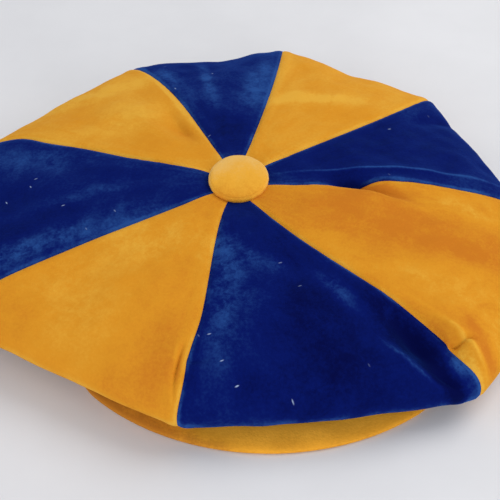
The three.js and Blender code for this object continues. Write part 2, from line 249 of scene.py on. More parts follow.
class Panel(NamedTuple):
    """A panel from the seam of the same row to the next. bulge is how far its rim stands out
    past a straight line, share of CROWN_REACH, and fullest how far across it does so. puff is
    how far its middle stands up, share of HUB_HEIGHT. The value after it is how its pile lies,
    from deep at -1 to pale at 1, and paints light and shade over the whole panel as a paler or
    deeper tone. wide, long and area are its flat cut in millimetres and square centimetres."""

    node: str
    slot: str
    bulge: float
    fullest: float
    puff: float
    nap: float
    wide: float
    long: float
    area: float


# Each panel's value after puff paints light and shade over the whole panel, paler or deeper for
# how its pile faces the light.
PANELS = [
    Panel("crown_panel_back", "blue_velvet", -0.010, 0.5, 0.03, 0.1, 92, 190, 104),
    Panel("crown_panel_back_right", "yellow_velvet", 0.003, 0.6, 0.03, 0.35, 100, 192, 108),
    Panel("crown_panel_right", "blue_velvet", 0.005, 0.8, 0.02, 0.0, 106, 204, 115),
    Panel("crown_panel_front_right", "yellow_velvet", 0.075, 0.5, 0.05, -0.45, 150, 212, 176),
    Panel("crown_panel_front", "blue_velvet", 0.031, 0.46, 0.03, -0.15, 150, 214, 170),
    Panel("crown_panel_front_left", "yellow_velvet", 0.005, 0.5, 0.04, -0.05, 134, 216, 168),
    Panel("crown_panel_left", "blue_velvet", 0.080, 0.5, 0.04, 0.1, 140, 232, 190),
    Panel("crown_panel_back_left", "yellow_velvet", 0.008, 0.45, 0.03, 0.4, 118, 214, 147),
]


class Fold(NamedTuple):
    """A fold or dent of the top, along a bowed line. Places, bow, slopes and crest are shares
    of CROWN_REACH from the button, height is a share of HUB_HEIGHT and below zero for a dent,
    peak is how far along it is highest, and shine how strong the painted highlight along its crest
    is."""

    name: str
    from_x: float
    from_y: float
    to_x: float
    to_y: float
    bow: float
    left: float
    right: float
    crest: float
    height: float
    peak: float
    shine: float


FOLDS = [
    Fold("crest on the right yellow panel",
         0.08, -0.02, 0.68, -0.11, 0.02, 0.02, 0.1, 0.008, 0.075, 0.6, 0.2),
    Fold("valley behind that crest",
         0.26, 0.035, 0.64, -0.07, 0.0, 0.022, 0.02, 0.014, -0.11, 0.32, 0.0),
    Fold("swell behind that valley",
         0.36, 0.03, 0.86, 0.01, 0.0, 0.04, 0.045, 0.02, 0.032, 0.3, 0.0),
    Fold("crest along the right blue panel",
         0.08, 0.03, 0.99, 0.14, 0.01, 0.07, 0.045, 0.006, 0.07, 0.5, 1.0),
    Fold("small crest beside it",
         0.38, 0.01, 0.8, 0.05, 0.01, 0.02, 0.025, 0.005, 0.045, 0.3, 0.4),
    Fold("ridge to the front right corner",
         0.46, -0.43, 0.86, -0.74, 0.03, 0.07, 0.03, 0.01, 0.07, 0.6, 0.3),
    Fold("gully along the front right seam",
         0.5, -0.47, 0.82, -0.74, 0.0, 0.022, 0.022, 0.014, -0.07, 0.65, 0.0),
    Fold("tuck across that gully",
         0.684, -0.63, 0.79, -0.602, 0.0, 0.009, 0.01, 0.003, -0.12, 0.3, 0.0),
    Fold("fold at the front right tip",
         0.62, -0.54, 0.83, -0.75, 0.03, 0.014, 0.018, 0.003, 0.055, 0.55, 0.8),
    Fold("hollow of the front right corner",
         0.46, -0.48, 0.72, -0.745, -0.02, 0.03, 0.045, 0.025, -0.16, 0.56, 0.0),
    Fold("crease on the front blue panel",
         0.46, -0.62, 0.69, -0.765, -0.025, 0.02, 0.09, 0.004, 0.08, 0.5, 0.8),
    Fold("pleat at the front right tip",
         0.62, -0.715, 0.77, -0.755, 0.0, 0.012, 0.01, 0.003, -0.07, 0.5, 0.0),
    Fold("ridge beside the front seam",
         -0.118, -0.68, -0.12, -0.92, 0.0, 0.012, 0.012, 0.004, 0.035, 0.45, 0.4),
    Fold("nip beside that ridge",
         -0.092, -0.69, -0.112, -0.91, -0.014, 0.007, 0.009, 0.003, -0.095, 0.45, 0.0),
    Fold("nick across that seam",
         -0.1, -0.77, 0.01, -0.755, 0.0, 0.01, 0.014, 0.004, -0.045, 0.3, 0.0),
    Fold("dent on the back left panel",
         -0.14, 0.17, -0.34, 0.5, 0.0, 0.045, 0.025, 0.014, -0.09, 0.4, 0.0),
    Fold("ridge beside that dent",
         -0.2, 0.16, -0.46, 0.42, 0.0, 0.03, 0.03, 0.008, 0.025, 0.4, 0.0),
    Fold("swell at the back left rim",
         -0.48, 0.8, -0.16, 0.96, 0.0, 0.06, 0.06, 0.03, 0.04, 0.5, 0.0),
    Fold("wave at the back rim",
         -0.18, 0.5, -0.12, 1.0, 0.0, 0.05, 0.05, 0.03, -0.06, 0.6, 0.0),
    Fold("wave at the back right rim",
         0.3, 0.55, 0.46, 1.0, 0.0, 0.06, 0.06, 0.03, -0.045, 0.6, 0.0),
    Fold("notch at the right rim",
         0.56, 0.4, 0.86, 0.58, 0.0, 0.03, 0.03, 0.012, -0.06, 0.55, 0.0),
    Fold("slack on the front left panel",
         -0.3, -0.35, -0.62, -0.72, 0.0, 0.1, 0.1, 0.06, -0.05, 0.5, 0.0),
    Fold("slack on the left panel",
         -0.5, -0.05, -0.96, -0.12, 0.0, 0.06, 0.06, 0.04, -0.04, 0.5, 0.0),
    Fold("seat of the button",
         0.0, 0.14, 0.01, -0.24, 0.0, 0.06, 0.06, 0.06, -0.09, 0.5, 0.0),
]


class Tuck(NamedTuple):
    """A place where a seam is pulled aside: how far out it is, over what length, both as
    shares of the seam, and by how many degrees round the button."""

    name: str
    seam: str
    out: float
    length: float
    turn: float


TUCKS = [
    Tuck("front seam's tuck", "front", 0.82, 0.10, -0.9),
    Tuck("front right seam's hem", "front right", 0.92, 0.05, -0.35),
    Tuck("left seam's hem", "left", 0.85, 0.09, -1.5),
    Tuck("left seam's sag", "left", 0.38, 0.16, 2.0),
    Tuck("right seam's kink", "right", 0.45, 0.06, 0.6),
]


class BrushedAndPaintedLight(NamedTuple):
    """A patch where the pile is brushed pale, or deep below zero; some patches paint light and
    shade instead: highlights on lit facets and a seam's edge, shade in a hollow, valley, pocket
    and dent. Places and half sizes are shares of CROWN_REACH from the button, bearing is its
    long way in degrees."""

    name: str
    x: float
    y: float
    long: float
    wide: float
    bearing: float
    strength: float


BRUSHED_AND_PAINTED_LIGHT = [
    BrushedAndPaintedLight("front blue panel, along the front seam", 0.01, -0.53, 0.24, 0.08, -88, 0.74),
    BrushedAndPaintedLight("front blue panel, across from there", 0.12, -0.40, 0.16, 0.035, -25, 0.40),
    BrushedAndPaintedLight("front blue panel, towards the right seam", 0.355, -0.495, 0.12, 0.034, -44, 0.65),
    BrushedAndPaintedLight("front blue panel, middle", 0.34, -0.70, 0.24, 0.16, -50, -0.38),
    BrushedAndPaintedLight("front blue panel, above the hem", 0.17, -0.83, 0.16, 0.05, 2, -0.4),
    # Painted shade in the hollow, a painted highlight on the facet and painted shade under it
    BrushedAndPaintedLight("front right corner, hollow", 0.58, -0.62, 0.17, 0.05, -45, -1.3),
    BrushedAndPaintedLight("front right corner, facet", 0.705, -0.685, 0.055, 0.024, -50, 1.25),
    BrushedAndPaintedLight("front right corner, under the facet", 0.690, -0.735, 0.06, 0.018, -22, -0.9),
    BrushedAndPaintedLight("front right corner, tip", 0.77, -0.74, 0.03, 0.030, -45, 0.35),
    BrushedAndPaintedLight("left panel, along its front seam", -0.64, -0.345, 0.26, 0.055, 24, 0.85),
    BrushedAndPaintedLight("left panel, wisp", -0.50, -0.10, 0.14, 0.03, 20, 0.5),
    BrushedAndPaintedLight("left panel, near its back seam", -0.66, 0.10, 0.20, 0.07, -10, 0.5),
    BrushedAndPaintedLight("back panel, left streak", -0.165, 0.66, 0.20, 0.026, 103, 0.75),
    BrushedAndPaintedLight("back panel, along the left seam", -0.30, 0.66, 0.18, 0.035, 118, 0.5),
    BrushedAndPaintedLight("back panel, right side", 0.03, 0.60, 0.18, 0.045, 82, 0.8),
    BrushedAndPaintedLight("back panel, near the button", -0.04, 0.30, 0.10, 0.08, 90, -0.5),
    BrushedAndPaintedLight("right blue panel, rim", 0.66, 0.42, 0.20, 0.10, 60, 0.25),
    # Painted shade in the valley behind the crest
    BrushedAndPaintedLight("right yellow panel, valley", 0.52, -0.20, 0.46, 0.12, -8, -0.25),
    BrushedAndPaintedLight("right yellow panel, pale rim", 0.86, -0.46, 0.22, 0.12, -30, 0.6),
    BrushedAndPaintedLight("right yellow panel, behind the valley", 0.76, -0.05, 0.18, 0.06, -8, 0.9),
    BrushedAndPaintedLight("right yellow panel, dark band", 0.72, -0.26, 0.24, 0.06, -10, -0.5),
    BrushedAndPaintedLight("right yellow panel, pale band", 0.62, -0.42, 0.16, 0.05, -20, 0.5),
    # Painted shade beside the crest
    BrushedAndPaintedLight("right yellow panel, low shade", 0.775, -0.59, 0.08, 0.022, -62, -0.7),
    BrushedAndPaintedLight("right yellow panel, rim by the corner", 0.86, -0.60, 0.10, 0.03, -62, 0.7),
    # Painted shade above the tuck
    BrushedAndPaintedLight("right yellow panel, above the tuck", 0.668, -0.605, 0.05, 0.012, -43, -0.8),
    BrushedAndPaintedLight("right yellow panel, along the seam", 0.36, -0.32, 0.26, 0.06, -42, 0.4),
    # Painted shade in the pocket behind the crest, then painted light on the strip beside the seam
    BrushedAndPaintedLight("right yellow panel, pocket", 0.48, -0.02, 0.08, 0.022, -20, -1.6),
    BrushedAndPaintedLight("front right corner, pale strip", 0.75, -0.672, 0.06, 0.022, -48, 1.5),
    BrushedAndPaintedLight("back right panel, streaks", 0.27, 0.52, 0.14, 0.035, 6, 1.3),
    BrushedAndPaintedLight("back right panel, first streak", 0.15, 0.52, 0.06, 0.022, 35, 1.0),
    BrushedAndPaintedLight("back left panel, rim streak", -0.56, 0.57, 0.22, 0.05, 26, 1.0),
    # A painted highlight along the edge of the back left seam
    BrushedAndPaintedLight("back left panel, edge at the back seam", -0.332, 0.594, 0.24, 0.010, 119.5, 1.5),
    BrushedAndPaintedLight("back left panel, middle", -0.40, 0.36, 0.16, 0.08, 20, 0.5),
    # Painted shade in the dent
    BrushedAndPaintedLight("back left panel, dent", -0.20, 0.28, 0.14, 0.04, 120, -0.3),
    BrushedAndPaintedLight("front left panel, low corner", -0.15, -0.75, 0.16, 0.06, -80, -0.4),
    BrushedAndPaintedLight("front left panel, middle", -0.46, -0.58, 0.26, 0.10, -35, 0.5),
    BrushedAndPaintedLight("front left panel, upper side", -0.22, -0.30, 0.22, 0.14, 20, 0.6),
]


class Swell(NamedTuple):
    """A smooth random swell: its height and wave length in millimetres, and the seed of its
    draws."""

    height: float
    length: float
    seed: int


LONG_SWELL = Swell(0.40, 38, 11)
SHORT_SWELL = Swell(0.12, 15, 12)
GATHERS = Swell(1.0, 30, 13)
BUTTON_SWELL = Swell(0.10, 11, 21)
PEAK_SWELL = Swell(0.22, 30, 31)

# Waves that make up a swell, and how their lengths spread about its own
SWELL_WAVES = 9
SWELL_SHORTEST = 0.7
SWELL_LONGEST = 1.5


def mix(a, b, share):
    return a + (b - a) * share


def ease(v):
    return v * v * (3 - 2 * v)


def middle_high(u):
    return 4 * u * (1 - u)


def bell(distance, width):
    return np.exp(-((distance / width) ** 2))


def band_reach(x, y):
    """How far the band's outer face is from its middle, towards a place."""
    return np.hypot(x, y) / np.hypot(x / (BAND_WIDTH / 2), y / (BAND_LENGTH / 2))


def seam_place(seam, out):
    """Places along a seam, whose bearing runs smoothly through its three, tucks apart."""
    near = (out - HALF_AT) * (out - 1) / ((NEAR_AT - HALF_AT) * (NEAR_AT - 1))
    half = (out - NEAR_AT) * (out - 1) / ((HALF_AT - NEAR_AT) * (HALF_AT - 1))
    rim = (out - NEAR_AT) * (out - HALF_AT) / ((1 - NEAR_AT) * (1 - HALF_AT))
    bearing = seam.near * near + seam.half * half + seam.rim * rim
    for tuck in TUCKS:
        if tuck.seam == seam.name:
            bearing = bearing + tuck.turn * bell(out - tuck.out, tuck.length)
    bearing = np.radians(bearing)
    distance = out * seam.reach * CROWN_REACH
    x = HUB_SIDE + distance * np.cos(bearing)
    y = HUB_BACK + distance * np.sin(bearing)
    return np.stack([x, y], -1)


def from_hub(x, y):
    return (x - HUB_SIDE) / CROWN_REACH, (y - HUB_BACK) / CROWN_REACH


def along_fold(fold, x, y):
    """How far along a fold each point is, and how far aside, as shares."""
    px, py = from_hub(x, y)
    dx = fold.to_x - fold.from_x
    dy = fold.to_y - fold.from_y
    length = math.hypot(dx, dy)
    along = ((px - fold.from_x) * dx + (py - fold.from_y) * dy) / length**2
    inside = np.clip(along, 0, 1)
    aside = ((py - fold.from_y) * dx - (px - fold.from_x) * dy) / length
    aside = aside - fold.bow * middle_high(inside)
    taper = ease(np.minimum(inside / fold.peak, (1 - inside) / (1 - fold.peak)))
    return taper, aside


def fold_height(x, y):
    height = np.zeros_like(x)
    for fold in FOLDS:
        taper, aside = along_fold(fold, x, y)
        slope = np.where(aside > 0, fold.left, fold.right)
        fall = (np.hypot(aside, fold.crest) - fold.crest) / slope
        height += fold.height * HUB_HEIGHT * taper * np.exp(-fall)
    return height


# Painted highlight: a pale line along the crest of each fold that shines.
def crest_shine(x, y):
    shine = np.zeros_like(x)
    for fold in FOLDS:
        if fold.shine:
            taper, aside = along_fold(fold, x, y)
            shine += fold.shine * np.sqrt(np.maximum(taper, 0)) * bell(aside, CREST_HALF)
    return shine


# Sums the patches: brushed pile together with painted light and shade.
def brushed_nap(x, y):
    px, py = from_hub(x, y)
    nap = np.zeros_like(x)
    for patch in BRUSHED_AND_PAINTED_LIGHT:
        turn = math.radians(patch.bearing)
        dx = px - patch.x
        dy = py - patch.y
        along = dx * math.cos(turn) + dy * math.sin(turn)
        aside = dy * math.cos(turn) - dx * math.sin(turn)
        nap += patch.strength * bell(along, patch.long) * bell(aside, patch.wide)
    return nap


def panel_places(index, u, out):
    """Places of a panel's points seen from above, and its width there. u is the share across
    the panel, and out the share of the way from the button to the rim."""
    first = SEAMS[index]
    last = SEAMS[(index + 1) % len(SEAMS)]
    a = seam_place(first, out)[None, :, :]
    b = seam_place(last, out)[None, :, :]
    start = seam_place(first, np.ones(1))[0]
    end = seam_place(last, np.ones(1))[0]
    outward = np.array([start[1] - end[1], end[0] - start[0]])
    outward /= np.linalg.norm(outward)
    if outward @ ((start + end) / 2 - (HUB_SIDE, HUB_BACK)) < 0:
        outward = -outward
    panel = PANELS[index]
    across = middle_high(u ** (math.log(0.5) / math.log(panel.fullest)))
    bulge = panel.bulge * CROWN_REACH * across[:, None] * out[None, :] ** 2
    place = mix(a, b, u[:, None, None]) + bulge[..., None] * outward
    width = np.linalg.norm(b - a, axis=-1) * np.ones_like(u)[:, None]
    return place, width


def panel_grid(index, u):
    """Outer points of one panel, columns across it and rows from the button to the band."""
    first = SEAMS[index]
    last = SEAMS[(index + 1) % len(SEAMS)]
    rise = mix(first.rise, last.rise, u)[:, None] * HUB_HEIGHT
    roll = mix(first.roll, last.roll, u)[:, None] * HUB_HEIGHT

    turn = mix(math.asin(HUB_RING / CROWN_REACH), math.pi / 2, np.linspace(0, 1, TOP_ROWS))
    out = np.sin(turn)
    place, width = panel_places(index, u, out)
    puff = PANELS[index].puff * HUB_HEIGHT * middle_high(u)[:, None]
    puff = puff * np.sin(np.pi * out**PUFF_POWER)[None, :]
    drop = np.maximum(np.cos(turn), 0)[None, :] ** DOME_POWER
    height = rise + (HUB_HEIGHT - rise) * drop + np.maximum(puff, 0)
    height = height + fold_height(place[..., 0], place[..., 1])
    top = np.concatenate([place, height[..., None]], -1)

    rim, rim_width = panel_places(index, u, np.ones(1))
    rim_fold = fold_height(rim[..., 0], rim[..., 1])
    turn = np.linspace(0, math.pi / 2, ROLL_ROWS + 1)[1:][None, :]
    share = 1 - RIM_ROLL * (1 - np.cos(turn)) / np.linalg.norm(rim, axis=-1)
    height = rise - roll * np.sin(turn) + rim_fold * np.cos(turn)
    rolled = np.concatenate([rim * share[..., None], height[..., None]], -1)

    low = rolled[:, -1:, :]
    reach = np.linalg.norm(low[..., :2], axis=-1)
    band = band_reach(low[..., 0], low[..., 1])
    v = np.linspace(0, 1, UNDER_ROWS + 1)[1:][None, :]
    share = mix(reach, band + CLEARANCE, v) / reach
    height = mix(low[..., 2], BAND_HEIGHT - CLOTH - SEWN_BELOW_BAND_EDGE, ease(v))
    under = np.concatenate([low[..., :2] * share[..., None], height[..., None]], -1)

    widths = np.concatenate([width, np.repeat(rim_width, ROLL_ROWS + UNDER_ROWS, 1)], 1)
    return np.concatenate([top, rolled, under], 1), widths


def crown_steps():
    """Shares across a panel, closer together near its seams."""
    k = np.arange(ACROSS) / ACROSS
    return k - SEAM_CROWDING * np.sin(2 * np.pi * k) / (2 * np.pi)


def grid_normals(grid):
    """Outward directions of a grid whose last column is next to its first. Its rows start at
    the button, where outward is up."""
    along = np.gradient(grid, axis=1)
    across = np.roll(grid, -1, 0) - np.roll(grid, 1, 0)
    normal = np.cross(along, across)
    normal /= np.linalg.norm(normal, axis=-1, keepdims=True)
    if normal[:, 0, 2].mean() < 0:
        normal = -normal
    return normal


def waves(x, y, swell):
    """Heights of a swell at places, from waves that run in random directions."""
    draw = np.random.default_rng(swell.seed)
    total = np.zeros_like(x)
    for _ in range(SWELL_WAVES):
        bearing = draw.uniform(0, 2 * math.pi)
        step = swell.length * draw.uniform(SWELL_SHORTEST, SWELL_LONGEST)
        phase = draw.uniform(0, 2 * math.pi)
        along = x * math.cos(bearing) + y * math.sin(bearing)
        total += np.sin(2 * math.pi * along / step + phase)
    return swell.height * total / math.sqrt(SWELL_WAVES / 2)


def seam_relief(x, y, to_seam, travelled):
    """Height of the crown's fine relief: swells, seam grooves, welts and puckers."""
    swell = waves(x, y, LONG_SWELL) + waves(x, y, SHORT_SWELL)
    free = 1 - bell(to_seam, STILL_BESIDE_SEAM)
    flat_rim = 1 - STILL_AT_RIM * bell(np.arange(x.shape[1]) - TOP_ROWS, ROLL_ROWS)
    welt = WELT_HEIGHT * bell(to_seam - WELT_AT, WELT_HALF)
    groove = welt - GROOVE_DEPTH * bell(to_seam, GROOVE_HALF)
    gather = waves(x, y, GATHERS)
    pucker = np.sin(2 * np.pi * travelled / PUCKER_LENGTH + PUCKER_WANDER * gather)
    pucker *= PUCKER_HEIGHT * bell(to_seam, PUCKER_REACH) * np.clip(gather, 0, 1)
    calm = np.clip((travelled - STILL_ROUND_BUTTON) / STILL_RUN_OUT, 0, 1)
    return (swell * free * flat_rim + groove + pucker) * calm


def crown_grid():
    """Outer points and normals of the whole crown, the marks that its velvet's colour follows,
    painted light and shade among them, and how far each point is from the button along the cloth."""
    u = crown_steps()
    grids = []
    seam_distances = []
    for index in range(len(PANELS)):
        grid, width = panel_grid(index, u)
        grids.append(grid)
        seam_distances.append(np.minimum(u, 1 - u)[:, None] * width)
    grid = np.concatenate(grids, 0)
    to_seam = np.concatenate(seam_distances, 0)
    normal = grid_normals(grid)

    x, y = grid[..., 0], grid[..., 1]
    steps = np.linalg.norm(np.diff(grid, axis=1, prepend=grid[:, :1]), axis=-1)
    travelled = np.cumsum(steps, 1)
    grid = grid + normal * seam_relief(x, y, to_seam, travelled)[..., None]
    normal = grid_normals(grid)

    # Each panel's painted light and shade, a paler or deeper tone over the whole panel.
    panel_nap = np.repeat([panel.nap for panel in PANELS], ACROSS)[:, None]
    # Edges along seams and over the rim: worn pile with a painted sheen highlight
    worn_sheen_rim_at = TOP_ROWS + WORN_SHEEN_RIM_AT * ROLL_ROWS
    worn_sheen_rim = bell(np.arange(grid.shape[1]) - worn_sheen_rim_at, WORN_SHEEN_RIM_HALF * ROLL_ROWS)
    worn_sheen_seam = bell(to_seam - WORN_SHEEN_SEAM_HALF, WORN_SHEEN_SEAM_HALF)
    edge = worn_sheen_seam + WORN_SHEEN_BESIDE * bell(to_seam, WORN_SHEEN_BESIDE_HALF) + WORN_SHEEN_RIM * worn_sheen_rim
    # The marks paint light and shade: the panel's tone and brushed patches carry painted light and
    # shade, crest a painted highlight, edge worn pile with a painted sheen
    marks = {
        "nap": np.broadcast_to(panel_nap, x.shape),
        "brushed_and_painted_light": brushed_nap(x, y),
        "crest": crest_shine(x, y),
        "edge": edge,
    }
    return grid, normal, marks, travelled


def even_marks(like, **given):
    """Marks for a mesh, all zero but for those given."""
    marks = {key: np.zeros_like(like) for key in MARKS}
    marks.update(given)
    return marks


def in_frame(points):
    """From millimetres about the band's middle to the frame's metres."""
    return (points - np.array([OUTLINE_SIDE, OUTLINE_BACK, 0.0])) * MM


def new_mesh(name, points, faces, marks, uv):
    mesh = bpy.data.meshes.new(name)
    mesh.from_pydata(in_frame(points).tolist(), [], faces)
    mesh.validate()
    mesh.polygons.foreach_set("use_smooth", [True] * len(mesh.polygons))
    for key, values in marks.items():
        layer = mesh.attributes.new(key, "FLOAT", "POINT")
        layer.data.foreach_set("value", np.asarray(values, dtype=np.float32).ravel())
    layer = mesh.uv_layers.new(name="UVMap")
    corner = np.empty(len(mesh.loops), dtype=np.int32)
    mesh.loops.foreach_get("vertex_index", corner)
    layer.data.foreach_set("uv", np.asarray(uv * UV_SCALE, dtype=np.float32)[corner].ravel())
    mesh.update()
    piece = bpy.data.objects.new(name, mesh)
    bpy.context.collection.objects.link(piece)
    return piece


def sheet_faces(columns, rows):
    """Faces of a closed sheet from an outer and an inner grid of columns by rows."""
    half = columns * rows
    c, r = np.meshgrid(np.arange(columns - 1), np.arange(rows - 1), indexing="ij")
    a = (c * rows + r).ravel()
    quads = np.stack([a, a + rows, a + rows + 1, a + 1], -1)
    faces = quads.tolist() + (quads[:, ::-1] + half).tolist()
    for r in range(rows - 1):
        faces.append([r + 1, half + r + 1, half + r, r])
        e = (columns - 1) * rows + r
        faces.append([e, half + e, half + e + 1, e + 1])
    for c in range(columns - 1):
        s = c * rows
        faces.append([s, half + s, half + s + rows, s + rows])
        t = s + rows - 1
        faces.append([t + rows, half + t + rows, half + t, t])
    return faces


def crown_panels():
    grid, normal, marks, travelled = crown_grid()
    rows = grid.shape[1]
    inner = grid - normal * CLOTH
    pieces = []
    for index, panel in enumerate(PANELS):
        columns = np.arange(index * ACROSS, (index + 1) * ACROSS + 1) % len(grid)
        points = np.concatenate([grid[columns].reshape(-1, 3), inner[columns].reshape(-1, 3)])
        picked = {key: np.tile(marks[key][columns].ravel(), 2) for key in MARKS}
        across = np.linspace(0, 1, ACROSS + 1)[:, None] * UV_PANEL
        across = np.broadcast_to(across, (ACROSS + 1, rows))
        uv = np.stack([across, travelled[columns]], -1).reshape(-1, 2)
        faces = sheet_faces(ACROSS + 1, rows)
        pieces.append(new_mesh(panel.node + "_cloth", points, faces, picked, np.tile(uv, (2, 1))))
    return pieces


def lathe(profile, segments):
    """Points and faces of a closed turned body; profile runs from axis to axis."""
    turn = np.linspace(0, 2 * np.pi, segments, endpoint=False)
    points = []
    faces = []
    rings = profile[1:-1]
    points.append([0, 0, profile[0][1]])
    for radius, z in rings:
        for angle in turn:
            points.append([radius * math.cos(angle), radius * math.sin(angle), z])
    points.append([0, 0, profile[-1][1]])
    for s in range(segments):
        t = (s + 1) % segments
        faces.append([0, 1 + t, 1 + s])
        for k in range(len(rings) - 1):
            a = 1 + k * segments
            b = a + segments
            faces.append([a + s, a + t, b + t, b + s])
        e = 1 + (len(rings) - 1) * segments
        faces.append([e + s, e + t, len(points) - 1])
    return np.array(points), faces


def button_profile(radius, shank):
    """Outline of the button from the foot of its shank, over its lip, to its top."""
    profile = [(0, -BUTTON_SHANK_DEPTH), (shank, -BUTTON_SHANK_DEPTH), (shank, -BUTTON_FILLET_UP)]
    for k in range(BUTTON_FLAT_STEPS + 1):
        out = mix(shank + BUTTON_FILLET_OUT, radius * BUTTON_FLAT, k / BUTTON_FLAT_STEPS)
        profile.append((out, 0.0))
    for k in range(1, BUTTON_LIP_STEPS + 1):
        turn = math.radians(mix(BUTTON_LIP_FROM_DEG, BUTTON_LIP_TO_DEG, k / BUTTON_LIP_STEPS))
        out = radius - BUTTON_LIP_OUT + BUTTON_LIP_OUT * math.cos(turn)
        profile.append((out, BUTTON_RISE * BUTTON_LIP_AT + BUTTON_LIP_UP * math.sin(turn)))
    lip_radius, lip_height = profile[-1]
    for k in range(1, BUTTON_TOP_STEPS + 1):
        turn = k / BUTTON_TOP_STEPS * math.pi / 2
        profile.append((lip_radius * math.cos(turn), mix(lip_height, BUTTON_RISE, math.sin(turn))))
    profile[-1] = (0, BUTTON_RISE)
    return profile


def button():
    radius = BUTTON_ACROSS / 2
    shank = BUTTON_SHANK / 2 - CLEARANCE
    points, faces = lathe(button_profile(radius, shank), BUTTON_STEPS)
    x, y, z = points.T
    angle = np.arctan2(y, x)
    away = np.hypot(x, y)
    pleats = PLEAT_DEPTH * np.sin(angle * PLEATS + PLEAT_WANDER * np.sin(angle * PLEAT_WANDERS))
    pleats = pleats * np.clip((away - PLEATS_FROM) / PLEATS_RUN, 0, 1)
    low = np.clip(PLEATS_BELOW - z / PLEATS_FADE, 0, 1)
    past_shank = away > shank + BUTTON_FILLET_OUT / 2
    oval = BUTTON_OVAL * np.sin(2 * angle + BUTTON_OVAL_TURN) * past_shank
    scale = 1 + pleats * low / radius + oval
    points[:, 0] *= scale
    points[:, 1] *= scale
    high = np.clip((z - BUTTON_SWELL_FROM) / BUTTON_SWELL_RUN, 0, 1)
    points[:, 2] += waves(x, y, BUTTON_SWELL) * high
    lean = math.radians(BUTTON_LEAN_DEG)
    points = points @ np.array(Matrix.Rotation(lean, 3, "X")).T
    seat = HUB_HEIGHT + fold_height(np.array(HUB_SIDE), np.array(HUB_BACK)) + CLEARANCE
    lift = radius * BUTTON_SEAT * math.sin(lean)
    points += (HUB_SIDE + BUTTON_ASIDE, HUB_BACK - BUTTON_FORWARD, seat + lift)
    # Painted light and shade on the button: paler towards the back and one side, deeper at its
    # rim, with a painted highlight round its edge
    rim = np.clip((away - BUTTON_RIM_FROM) / BUTTON_RIM_RUN, 0, 1)
    painted_light_tilt = (BUTTON_PAINTED_LIGHT_BACK * y + BUTTON_PAINTED_LIGHT_SIDE * x) / radius
    marks = even_marks(
        x,
        nap=BUTTON_LIE + painted_light_tilt + BUTTON_PAINTED_SHADE_RIM * rim,
        edge=BUTTON_RIM_HIGHLIGHT * bell(away - radius + BUTTON_RIM_HIGHLIGHT_IN, BUTTON_RIM_HIGHLIGHT_HALF),
    )
    return new_mesh("button_cloth", points, faces, marks, np.stack([x, y], -1))


def peak_section(length):
    """The peak's outline at one angle: distance from its root and height, from the root over
    the top, down the rounded outer edge and back under."""
    round_off = min(PEAK_ROUND, PEAK_ROUND_MOST * length)
    way_out = np.linspace(0, 1, PEAK_FLAT_STEPS)
    flat = [(length - round_off) * way_out, np.full(PEAK_FLAT_STEPS, PEAK_THICK)]
    turn = np.radians(np.linspace(90, 0, PEAK_ROUND_STEPS + 1))[1:]
    over = PEAK_EDGE + (PEAK_THICK - PEAK_EDGE) * np.sin(turn) ** PEAK_ROUND_POWER
    top = [length - round_off + round_off * np.cos(turn), over]
    turn = np.radians(np.linspace(0, -90, PEAK_LIP_STEPS + 1))[1:]
    lip = [length - PEAK_EDGE + PEAK_EDGE * np.cos(turn), PEAK_EDGE + PEAK_EDGE * np.sin(turn)]
    way_back = np.linspace(1, 0, PEAK_BACK_STEPS + 1)[1:]
    back = [(length - PEAK_EDGE) * way_back, np.zeros(PEAK_BACK_STEPS)]
    return np.concatenate([np.stack(part, -1) for part in (flat, top, lip, back)])


def peak():
    """Peak as rings round its cross-section, from one end to the other."""
    centre = PEAK_ARC - PEAK_DEPTH - BAND_LENGTH / 2
    rings = []
    for angle in np.radians(np.linspace(-PEAK_HALF_DEG, PEAK_HALF_DEG, PEAK_STEPS)):
        past_arc = math.degrees(abs(angle)) - PEAK_ARC_HALF_DEG
        flank = min(max(past_arc / PEAK_RUN_IN_DEG, 0), 1)
        reach = mix(PEAK_ARC, BAND_WIDTH / 2, ease(flank))
        edge = np.array([reach * math.sin(angle), centre - reach * math.cos(angle)])
        outward = edge / np.linalg.norm(edge)
        root = outward * (band_reach(*edge) + CLEARANCE)
        length = max(np.linalg.norm(edge - root), PEAK_BLUNT)
        rings.append([[*(root + outward * d), z] for d, z in peak_section(length)])
    rings = np.array(rings)
    x, y, z = rings[..., 0], rings[..., 1], rings[..., 2]
    rings[..., 2] += np.clip(z / PEAK_THICK, 0, 1) * waves(x, y, PEAK_SWELL)
    rings[..., 2] = np.maximum(rings[..., 2], 0)
    count = rings.shape[1]
    faces = []
    for s in range(PEAK_STEPS - 1):
        for k in range(count):
            n = (k + 1) % count
            faces.append([s * count + k, s * count + n, (s + 1) * count + n, (s + 1) * count + k])
    faces.append(list(range(count))[::-1])
    faces.append([(PEAK_STEPS - 1) * count + k for k in range(count)])
    points = rings.reshape(-1, 3)
    near_edge = PEAK_FLAT_STEPS + PEAK_ROUND_STEPS - 2
    # Painted light and shade on the peak: deeper at its outer edge, paler further in where the
    # crown shades it, and changing from side to side
    from_edge = np.hypot(x[:, [near_edge]] - x, y[:, [near_edge]] - y)
    side = np.clip((x - PEAK_PAINTED_LIGHT_MIDDLE) / PEAK_PAINTED_LIGHT_RUN, -1, PEAK_PAINTED_LIGHT_MOST)
    marks = even_marks(x, nap=np.interp(from_edge, PEAK_PAINTED_LIGHT_AT, PEAK_PAINTED_LIGHT) + side)
    return new_mesh("peak_cloth", points, faces, marks, points[:, :2])


